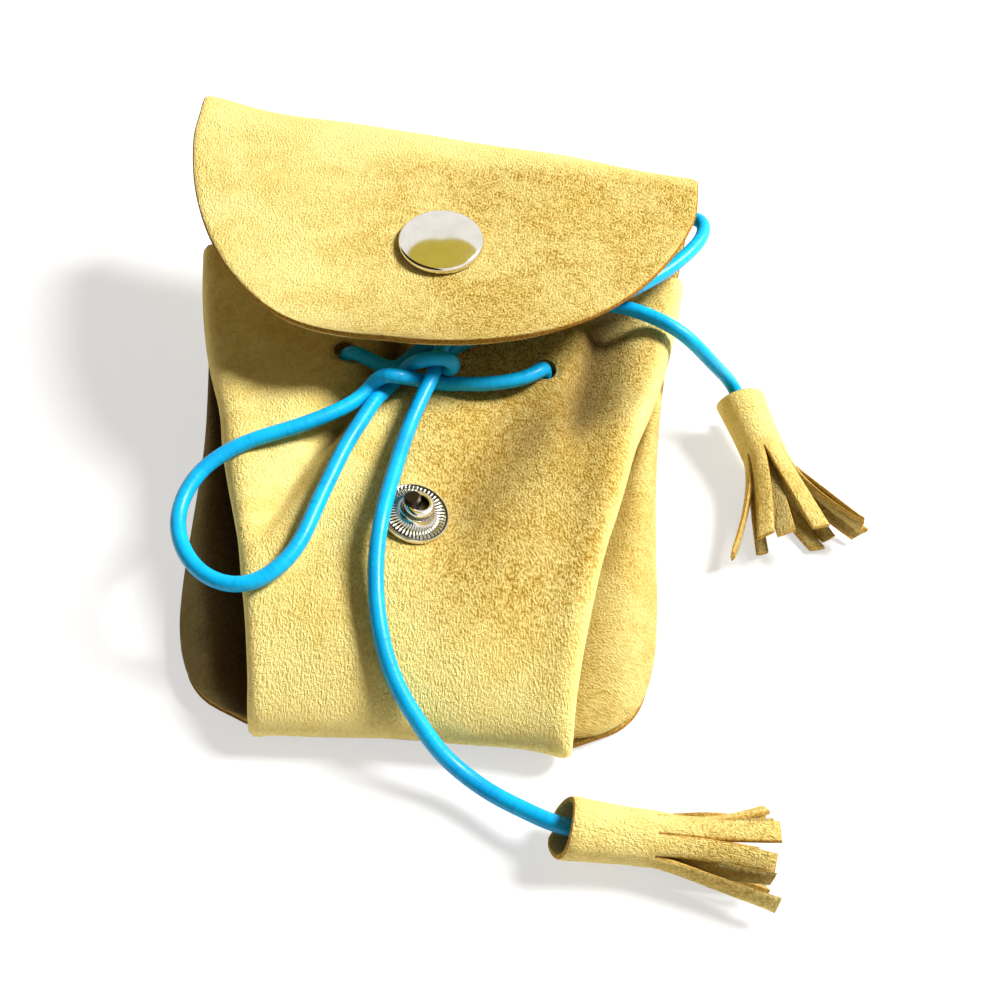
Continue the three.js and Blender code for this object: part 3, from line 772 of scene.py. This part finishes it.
def front_grid():
    """The front panel's middle surface, with the place of its columns and rows among the points."""
    lines = np.array([front_line(*station) for station in STATIONS])
    last_column, last_row = lines.shape[1] - 1, len(lines) - 1
    columns = np.linspace(0, last_column, last_column * FINE_STEPS + 1)
    rows = np.linspace(0, last_row, last_row * FINE_STEPS + 1)
    across = np.stack([curve_through(line, columns) for line in lines])
    dense = curve_through(across, rows)
    wide = spacing(dense, 1).sum(axis=1).mean()
    long = spacing(dense, 0).sum(axis=0).mean()
    columns = even_positions(dense, 1, int(wide / FRONT_STEP)) / FINE_STEPS
    rows = even_positions(dense, 0, int(long / FRONT_STEP)) / FINE_STEPS
    across = np.stack([curve_through(line, columns) for line in lines])
    grid = curve_through(across, rows)
    return grid, columns, rows


def make_front():
    """The front panel and its middle surface."""
    grid, columns, rows = front_grid()
    beside = np.abs(columns - MIDDLE_COLUMN)
    crease = bump(beside, FRONT_EDGE, 0.35) + bump(beside, PLEAT_BOTTOM, 0.2)
    hold = np.clip(np.broadcast_to(0.85 * crease, grid.shape[:2]), 0, 1)
    grid = relaxed(grid, FRONT_RELAXING, hold)
    face = 1 - smooth(FRONT_EDGE - 0.5, FRONT_EDGE + 0.3, beside)
    x, y = grid[..., 0], grid[..., 1]
    soft = waves(11, 40, 45, 12)
    lift = FRONT_WAVES * soft(grid) * face[None, :]
    folds = front_folds(x, y) * face[None, :]
    grid = grid + grid_normals(grid) * (lift + folds)[..., None]
    outer = smooth(FRONT_EDGE + 0.1, FRONT_EDGE + 0.6, beside)
    pleat = 1 - 0.28 * smooth(4.6, 5.8, beside)
    # Painted shade: the pleats, the left one darkest, the front's deep folds and a patch beside the
    # right hole are darkened in the colour, beyond what the light gives.
    painted_shade = (outer * pleat * np.where(columns < MIDDLE_COLUMN, 1.0, RIGHT_PLEAT_SHADE))[None, :]
    shade = 0.6 * smooth(0.8, 5, -folds) + 0.3 * hollow(x, y, *HOLE_SHADE)
    painted_shade = np.clip(painted_shade + shade * face[None, :], 0, 1)
    nap = 1.25 * smooth(-14, 14, x) * smooth(4, 30, y) * (1 - 0.6 * smooth(26, 34, x))
    nap = nap * face[None, :] + 0.25 * outer[None, :]
    rubbed = 0.9 * bump(beside, 3.02, 0.16)[None, :] + 0.5 * smooth(10.86, 11, rows)[:, None]
    rubbed = rubbed + 0.7 * smooth(14, 2, y) * face[None, :]
    attributes = {"rubbed": rubbed, "painted_shade": painted_shade, "nap": nap}
    panel = leather_sheet("front_panel_suede", grid, SUEDE, [SUEDE_FACE, SUEDE_EDGE], attributes)
    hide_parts("front_panel")
    return panel, grid


def hollow(x, y, start, end, left, right, fade):
    """A groove of depth 1 from start to end, its ends fading out.

    left and right are the widths of its sides, as seen looking up the pouch."""
    start, end = np.array(start, float), np.array(end, float)
    run = end - start
    long = math.hypot(*run)
    t = ((x - start[0]) * run[0] + (y - start[1]) * run[1]) / long**2
    off = -((x - start[0]) * run[1] - (y - start[1]) * run[0]) / long
    side = np.where(off < 0, bump(off, 0, left), bump(off, 0, right))
    return side * smooth(-fade, fade, t) * (1 - smooth(1 - fade, 1 + fade, t))


def front_folds(x, y):
    """Height of the front's folds over the plain panel."""
    return sum(height * hollow(x, y, *shape) for height, *shape in FRONT_FOLDS)


front_panel, front_middle = make_front()


# The back panel, which goes on past the mouth, folds over and becomes the flap
BACK_STEP = 0.85


def fold_line():
    """Rows of the back panel past the mouth: (y, z, half width) up the fold to the flap."""
    mouth_back = back_height(BODY_LENGTH)
    rise = FOLD_HEIGHT - mouth_back
    half = FLAP_WIDTH / 2
    return [
        (BODY_LENGTH + 0.45 * FOLD_REACH, mouth_back + 0.2 * rise, 0.955 * half),
        (BODY_LENGTH + 0.82 * FOLD_REACH, mouth_back + 0.5 * rise, 0.985 * half),
        (BODY_LENGTH + FOLD_REACH, mouth_back + 0.76 * rise, half),
        (BODY_LENGTH + 0.9 * FOLD_REACH, mouth_back + 0.95 * rise, half),
        (BODY_LENGTH + FLAP_START * FOLD_REACH, FOLD_HEIGHT, 0.99 * half),
    ]


# Rows of the back panel, as shares of the body length from the bottom seam to the mouth, and of
# the flap from the fold to its tip
BACK_SHARES = (
    0.035, 0.044, 0.056, 0.08, 0.112, 0.158, 0.23, 0.35, 0.49, 0.6, 0.66, 0.76, 0.88, 1,
)
FLAP_ROWS = 14
FLAP_START = 0.6
BACK_COLUMNS = 110
FLAP_WAVES = 0.45


def back_rows():
    """Middle x, y, z, half width, turn and sag of each row of the back panel."""
    rows = []
    for share in BACK_SHARES:
        y = share * BODY_LENGTH
        rows.append((drift_at(y), y, back_height(y), seam_half(y) + 0.2, 0, 0))
    for k, (y, z, half) in enumerate(fold_line()):
        turn = min(1, (k + 1) / 3)
        rows.append((FOLD_ACROSS * turn, y, z, half, FOLD_TWIST * turn, 0))
    flap_start = rows[-1][1]
    for k in range(1, FLAP_ROWS + 1):
        share = math.sin(k / FLAP_ROWS * math.pi / 2)
        half = FLAP_WIDTH / 2 * (1 - min(share, 0.9995) ** 1.5) ** (1 / 2.7)
        run = share * (FLAP_LENGTH - 0.8)
        z = FOLD_HEIGHT + (FLAP_TIP_HEIGHT - FOLD_HEIGHT) * share**1.2
        turn = FOLD_TWIST + (TIP_TWIST - FOLD_TWIST) * share**1.5
        x = FOLD_ACROSS - run * FLAP_LEAN - 3 * share**8
        rows.append((x, flap_start - run, z, half, turn, 0.6 * (1 - share)))
    return np.array(rows)


def make_back():
    """The back panel with the flap, and its middle surface."""
    rows = back_rows()
    at = np.linspace(0, len(rows) - 1, (len(rows) - 1) * FINE_STEPS + 1)
    fine = curve_through(rows, at)
    length = distance_along(fine[:, :3])
    flap_row = len(rows) - 1 - FLAP_ROWS
    body = np.interp(np.arange(0, np.interp(flap_row, at, length), BACK_STEP), length, at)
    turns = np.arange(flap_row, len(rows) - 1 + 1e-6, 0.25)
    fine = curve_through(rows, np.concatenate([body, turns[1:]]))
    a = np.linspace(1, -1, BACK_COLUMNS + 1)
    angle = fine[:, 4:5]
    reach = -a[None, :] * np.maximum(fine[:, 3:4], 0.4)
    grid = np.stack([
        fine[:, 0:1] + reach * np.cos(angle),
        fine[:, 1:2] - reach * np.sin(angle),
        fine[:, 2:3] - fine[:, 5:6] * a[None, :] ** 2,
    ], axis=2)
    flap = smooth(20, 26, grid[..., 2])
    lift = FLAP_WAVES * waves(23, 40, 60, 16)(grid) * flap
    grid = grid + grid_normals(grid) * lift[..., None]
    rubbed = 0.7 * bump(grid[..., 2], FOLD_HEIGHT, 1.2) * smooth(88, 94, grid[..., 1])
    nap = 0.75 * smooth(-24, 6, grid[..., 0]) * smooth(100, 88, grid[..., 1])
    attributes = {"rubbed": rubbed, "nap": nap}
    materials = [SUEDE_FACE, SUEDE_EDGE]
    panel = leather_sheet("back_panel_and_flap_suede", grid, SUEDE, materials, attributes)
    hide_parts("back_panel_with_flap")
    return panel, grid


back_panel, back_middle = make_back()


HOLE_DEPTH = 6.0
HOLE_SIDES = 32


def punch(panel, x, z):
    """Cuts one of the cord's round holes down through a panel, where its suede is at height z."""
    wall = [(HOLE / 2, -HOLE_DEPTH), (HOLE / 2, HOLE_DEPTH)]
    points, faces = turned(wall, HOLE_SIDES, closed=True)
    mesh = bpy.data.meshes.new("punch")
    mesh.from_pydata(to_row(points + np.array([x, HOLE_ALONG, z])).tolist(), [], faces)
    mesh.materials.append(SUEDE_EDGE)
    tool = put("punch", mesh)
    cut = panel.modifiers.new("punch", "BOOLEAN")
    cut.object = tool
    cut.operation = "DIFFERENCE"
    cut.solver = "MANIFOLD"
    seen = bpy.context.evaluated_depsgraph_get()
    made = bpy.data.meshes.new_from_object(panel.evaluated_get(seen))
    old = panel.data
    panel.modifiers.clear()
    panel.data = made
    bpy.data.meshes.remove(old)
    bpy.data.objects.remove(tool)


# Tassels: a strip of suede rolled round the end of the cord, its lower part cut into a fringe
TASSEL_RADIUS = 3.35
TASSEL_TUBE = 12.0
TASSEL_SUEDE = 1.0
FRINGE_STRIPS = 10
STRIP_WIDTH = 3.0
STRIP_COLUMNS = 5
STRIP_SHARE = 0.985
ROLL_STEP = 1.3
ROLL_STEP_AT = (0.86, 1.08)
MOUTH_RECESS = 2.4
MOUTH_SLANT = 1.1


def make_tassel(side, mouth, tip, fringe, fan, droop, start_angle, seed):
    """A tassel that lies from its mouth to its tip.

    fringe is the strips' length, fan and droop how far they spread sideways and up and down, and
    start_angle where the roll's outer edge lies, 0 at its side and negative under it. The roll
    steps inwards by ROLL_STEP between the turns of ROLL_STEP_AT."""
    mouth, tip = np.array(mouth, float), np.array(tip, float)
    axis = (tip - mouth) / np.linalg.norm(tip - mouth)
    across = np.cross([0.0, 0.0, 1.0], axis)
    across /= np.linalg.norm(across)
    up = np.cross(axis, across)
    draw = np.random.default_rng(seed)
    columns = FRINGE_STRIPS * STRIP_COLUMNS
    within = np.linspace(-0.5, 0.5, STRIP_COLUMNS)
    strips = [(i + 0.5 + within * STRIP_SHARE) * STRIP_WIDTH for i in range(FRINGE_STRIPS)]
    arc = np.concatenate(strips)
    angle, radius, inner = np.zeros(columns), np.zeros(columns), np.zeros(columns)
    turn = start_angle
    for k in range(columns):
        gone = abs(turn - start_angle) / (2 * math.pi)
        inner[k] = smooth(*ROLL_STEP_AT, gone)
        radius[k] = TASSEL_RADIUS - ROLL_STEP * inner[k]
        angle[k] = turn
        if k + 1 < columns:
            turn += (arc[k + 1] - arc[k]) / radius[k]
    tube_at = np.linspace(0, TASSEL_TUBE, 13)
    fringe_at = np.linspace(0, 1, 15)[1:]
    grid = np.zeros((len(tube_at) + len(fringe_at), columns, 3))
    for r, along in enumerate(tube_at):
        taper = 1.06 - 0.12 * smooth(0, 0.8 * TASSEL_TUBE, along) + 0.05 * bump(along, 0, 1.2)
        lip = (0.25 * np.sin(angle * 2 + 1) + MOUTH_SLANT * np.sin(angle)) * bump(along, 0, 5)
        x, y = radius * taper * np.cos(angle), radius * taper * np.sin(angle)
        recess = MOUTH_RECESS * inner * (1 - along / TASSEL_TUBE)
        grid[r] = np.stack([x, y, along + lip + recess], 1)
    first = len(tube_at) - 1
    for i in range(FRINGE_STRIPS):
        own = slice(i * STRIP_COLUMNS, (i + 1) * STRIP_COLUMNS)
        middle = angle[own].mean()
        base = grid[first, own].mean(axis=0)
        ring = grid[first, own] - base
        out_x = fan * math.cos(middle) + draw.uniform(-0.9, 0.9)
        out_y = droop * math.sin(middle) + draw.uniform(-0.4, 0.5)
        bow = draw.uniform(-0.9, 0.9)
        twist = draw.uniform(-0.5, 0.5)
        reach = fringe * draw.uniform(0.93, 1.02)
        tangent = np.array([-math.sin(middle), math.cos(middle), 0])
        flat_ring = (within * STRIP_WIDTH * STRIP_SHARE)[:, None] * tangent
        for k, share in enumerate(fringe_at):
            spread = share**1.5
            centre = base + np.array([
                out_x * spread + bow * math.sin(math.pi * share),
                out_y * spread + 0.4 * bow * math.sin(math.pi * share),
                reach * share,
            ])
            blend = min(1, 2.2 * share)
            across_ring = ring * (1 - blend) + flat_ring * blend
            c, n = math.cos(twist * spread), math.sin(twist * spread)
            turned_ring = across_ring @ np.array([[c, n, 0], [-n, c, 0], [0, 0, 1]])
            grid[first + 1 + k, own] = centre + turned_ring
    place = mouth + grid[..., :1] * across + grid[..., 1:2] * up + grid[..., 2:] * axis
    floor = TASSEL_SUEDE / 2 + 0.15
    place[..., 2] = floor + np.logaddexp(0, (place[..., 2] - floor) * 3) / 3
    cut = np.zeros((len(place) - 1, columns - 1), bool)
    cut[first:, STRIP_COLUMNS - 1::STRIP_COLUMNS] = True
    one = np.ones_like(grid[..., 2])
    flat = np.stack([arc * one, grid[..., 2], 0 * one], axis=2)
    shares = np.concatenate([np.zeros(len(tube_at)), fringe_at])
    attributes = {
        "rubbed": (0.5 * smooth(12, 6, np.arange(len(place))))[:, None] * one,
        # painted shade on the roll's inner turn
        "painted_shade": 0.8 * inner * (1 - 0.5 * shares)[:, None] * one,
        "nap": 0.35 * smooth(0, 0.5, shares)[:, None] * one,
    }
    # Painted shade on the inside face of the roll, darkest in the tube.
    inside = {"painted_shade": (0.98 - 0.6 * smooth(0, 0.3, shares))[:, None] * one}
    materials = [SUEDE_FACE, FRINGE_EDGE]
    tassel = leather_sheet(
        f"tassel_{side}_fringe", place, TASSEL_SUEDE, materials, attributes, cut, flat, inside)
    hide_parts(f"tassel_{side}")
    return tassel


tassel_left = make_tassel("left", (23.2, -10.9, 5.5), (51.6, -11.7, 3.4), 15.8, 3.0, 1.2, -0.9, 3)
tassel_right = make_tassel("right", (51.7, 68.1, 7.4), (60.6, 41, 3.6), 17.4, 8.4, 1.6, -1.7, 8)


# Press stud. Each half stands on the suede, square to it, and sinks a little into its nap. AXIS
# is the radius of a profile's points on its axis.
CAP = 13.4
CAP_HEIGHT = 2.1
STUD = 10.0
STUD_FLUTES = 46
RIVET = 2.4
STUD_ALONG = 30.0
STUD_SINK = 0.15
CAP_SINK = 0.1
STEM_PAST = 0.9
AXIS = 0.01
FITTING_SHARP = 40
CAP_FROM_TIP = 20.2
CAP_ACROSS = 0.4


def surface_of(grid):
    """A tree for finding where a line straight down meets a grid's middle surface."""
    return BVHTree.FromPolygons(grid.reshape(-1, 3).tolist(), grid_squares(grid).tolist())


def seat_on(tree, x, y):
    """Place and upward normal of the highest point of a surface at x, y."""
    spot, normal, _, _ = tree.ray_cast(Vector((x, y, 80)), Vector((0, 0, -1)))
    return np.array(spot), np.array(normal if normal.z > 0 else -normal)


def fitting(name, node, profile, seat, lift, segments=96, wave=None, painted_recess_shade=None):
    """A turned nickel piece of the press stud on its seat, which stands for one CAD node."""
    points, faces = turned(profile, segments, wave)
    # The stud's painted shade in its recesses; none on the cap.
    marks = {"painted_recess_shade": np.concatenate(painted_recess_shade) if painted_recess_shade is not None else np.zeros(len(points))}
    place, axis = seat
    side = np.cross([0.0, 1.0, 0.0], axis)
    side /= np.linalg.norm(side)
    rise = np.cross(axis, side)
    where = place + axis * lift
    placed = where + points[:, :1] * side + points[:, 1:2] * rise + points[:, 2:] * axis
    piece = mesh_object(name, placed, faces, [NICKEL], attributes=marks, sharp=FITTING_SHARP)
    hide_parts(node)


def dome(radius, height, steps=14):
    """Profile of the polished cap from its turned-in rim to its crown."""
    edge, shoulder = radius - 0.36, 1.16
    out = [
        (AXIS, 0.0), (radius - 0.75, 0.0), (radius - 0.25, 0.02), (radius - 0.05, 0.14),
        (radius, 0.4), (radius - 0.04, 0.75), (radius - 0.16, 1.02), (edge, shoulder),
    ]
    for k in range(1, steps + 1):
        share = math.cos(k / steps * math.pi / 2)
        rise = (height - shoulder) * (1 - share**2.6)
        out.append((max(edge * share, AXIS), shoulder + rise))
    return out


front_tree = surface_of(front_middle)
flap_tree = surface_of(back_middle)
for hole in (HOLE_LEFT, HOLE_RIGHT):
    punch(front_panel, hole, seat_on(front_tree, hole, HOLE_ALONG)[0][2])
    punch(back_panel, hole, back_height(HOLE_ALONG))
FACE = SUEDE / 2 + FIT_GAP
stud_seat = seat_on(front_tree, 0, STUD_ALONG)
flap_tip = BODY_LENGTH + FLAP_START * FOLD_REACH - FLAP_LENGTH
cap_seat = seat_on(flap_tree, CAP_ACROSS, flap_tip + CAP_FROM_TIP)

stem_end = -(SUEDE + 2 * FIT_GAP + STEM_PAST)
stem = [(AXIS, stem_end), (RIVET / 2, stem_end), (RIVET / 2, -0.05)]
cap_profile = stem + dome(CAP / 2, CAP_HEIGHT)[1:]
fitting("press_stud_cap", "snap_cap", cap_profile, cap_seat, FACE - CAP_SINK)

rim = STUD / 2
stud_profile = [
    (1.5, 0.0), (rim - 0.25, 0.0), (rim, 0.2), (rim, 0.62), (rim - 0.12, 0.78), (rim - 0.3, 0.8),
    (rim - 0.5, 0.72), (rim - 0.62, 0.6), (rim - 0.95, 0.55), (rim - 1.4, 0.52), (rim - 1.8, 0.56),
    (2.85, 0.7), (2.55, 0.95), (2.3, 1.3), (2.12, 1.8), (2.1, 2.1), (2.22, 2.5), (2.24, 2.75),
    (2.1, 3.1), (1.85, 3.32), (1.6, 3.38), (1.35, 3.3), (1.25, 3.1), (1.2, 2.2), (AXIS, 2.15),
]

# Points of the stud's profile, by number: the flutes with their depth, and the inside of the rim
# and of the post's hollow, which get painted shade
FLUTE_DEPTH = {7: 0.08, 8: 0.2, 9: 0.22, 10: 0.18, 11: 0.08}
FLUTED = range(7, 11)
DARK = (5, 6, 22, 23, 24)


def flutes(k, angle):
    """Ridges that fan out over the stud's dish."""
    ridge = np.cos(STUD_FLUTES * angle)
    return FLUTE_DEPTH.get(k, 0.0) * np.sign(ridge) * np.abs(ridge) ** 0.6


def stud_recess_shade(segments):
    """Painted shade on the stud's plating: between the flutes, inside the rim and in the hollow."""
    angle = np.arange(segments) * 2 * math.pi / segments
    low = smooth(0.1, -0.5, np.cos(STUD_FLUTES * angle))
    return [
        low if k in FLUTED else np.full(segments, 1.0 if k in DARK else 0.0)
        for k in range(len(stud_profile))
    ]


stud_segments = STUD_FLUTES * 8
fitting(
    "press_stud_post", "snap_stud", stud_profile, stud_seat, FACE - STUD_SINK,
    segments=stud_segments, wave=flutes, painted_recess_shade=stud_recess_shade(stud_segments),
)


# The rivet under the stud and the socket and spring under the flap
hidden = {"stud_rivet": RIVET_NICKEL, "snap_socket": NICKEL, "snap_spring": SPRING_STEEL}
for node, finish in hidden.items():
    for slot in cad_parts[node].material_slots:
        slot.material = finish


# The studio. Lengths are in metres here.
KEY_PLACE = Vector((0.62, 0.2, 0.72))
KEY_TARGET = Vector((0, 0, 0.01))
KEY_SIZE = 0.3
KEY_POWER = 20.5
ROOM_LIGHT = (1, 0.86, 0.64)
CEILING = (0.62, 0.5, 0.08)
DARK_WALL = (0.03, 0.02, 0.012)
DARK_WALL_SIDE = (-0.8, -0.6, 0.0)
FLOOR_HALF = 1.5
FLOOR_LEVEL = -0.0002
FLOOR_GLOW = 0.6


def make_light():
    """One soft lamp, high up on the right."""
    data = bpy.data.lights.new("key", "AREA")
    data.shape = "DISK"
    data.size = KEY_SIZE
    data.energy = KEY_POWER
    data.color = (1, 0.99, 0.97)
    light = put("key", data)
    turn = (KEY_PLACE - KEY_TARGET).to_track_quat("Z", "Y").to_matrix().to_4x4()
    light.matrix_world = Matrix.Translation(KEY_PLACE) @ turn


def make_world():
    """A pale, warm room, which the camera sees white.

    Polished metal sees it brighter, with an olive ceiling and a dark wall on the near left."""
    world = bpy.data.worlds.new("studio")
    bpy.context.scene.world = world
    world.use_nodes = True
    f = Finish(tree=world.node_tree, shader="Background")
    direction = f.node("ShaderNodeTexCoord", out="Generated")
    height = f.node("ShaderNodeSeparateXYZ", {}, {0: direction}, out="Z")
    near_left = f.node(
        "ShaderNodeVectorMath", {"operation": "DOT_PRODUCT"},
        {0: direction, 1: DARK_WALL_SIDE}, out="Value")
    glossy = f.node("ShaderNodeLightPath", out="Is Glossy Ray")
    camera = f.node("ShaderNodeLightPath", out="Is Camera Ray")
    seen = f.mix(f.ramp(height, 0.77, 0.8), (1, 1, 1), CEILING)
    seen = f.mix(f.ramp(near_left, 0.42, 0.56), seen, DARK_WALL)
    lit = f.mix(glossy, ROOM_LIGHT, seen)
    f.set(Color=f.mix(camera, lit, (1, 1, 1)), Strength=0.24 + 0.81 * glossy + 0.76 * camera)


def make_floor():
    """Pale paper under the pouch. The camera sees it near white, with a light shadow."""
    mesh = bpy.data.meshes.new("floor")
    corners = [(x * FLOOR_HALF, y * FLOOR_HALF, 0) for x, y in ((-1, -1), (1, -1), (1, 1), (-1, 1))]
    mesh.from_pydata(corners, [], [(0, 1, 2, 3)])
    f = Finish("floor_paper")
    f.set(Base_Color=(0.92, 0.92, 0.92), Roughness=0.9)
    camera_sees = f.node("ShaderNodeLightPath", out="Is Camera Ray")
    paper, glow = Val(f, f.shader.outputs[0]), f.node("ShaderNodeEmission")
    both = f.node("ShaderNodeMixShader", {}, {0: FLOOR_GLOW * camera_sees, 1: paper, 2: glow})
    f.feed(f.tree.nodes["Material Output"].inputs["Surface"], both)
    mesh.materials.append(f.material)
    floor = put("floor", mesh)
    floor.location.z = FLOOR_LEVEL


make_light()
make_world()
make_floor()
bpy.context.scene.view_settings.view_transform = "Standard"

cord_nodes = ["drawstring_neck", "bow_loop_left", "bow_loop_right", "drawstring_end_left",
              "drawstring_end_right", "bow_knot"]
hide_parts(*cord_nodes)


def flat_cut(grid):
    """Width, length and area in metres of the piece of leather that a grid was cut from."""
    across, along = spacing(grid, 1), spacing(grid, 0)
    middle = np.cross(grid[1:, 1:] - grid[:-1, :-1], grid[1:, :-1] - grid[:-1, 1:])
    area = np.linalg.norm(middle, axis=2).sum() / 2
    return across.sum(axis=1).max() * MM, along.sum(axis=0).max() * MM, area * MM**2


for panel, grid, held, below in (
    (front_panel, front_middle, "gathered", [back_panel]),
    (back_panel, back_middle, "with_painted_shade", []),
):
    wide, long, area = flat_cut(grid)
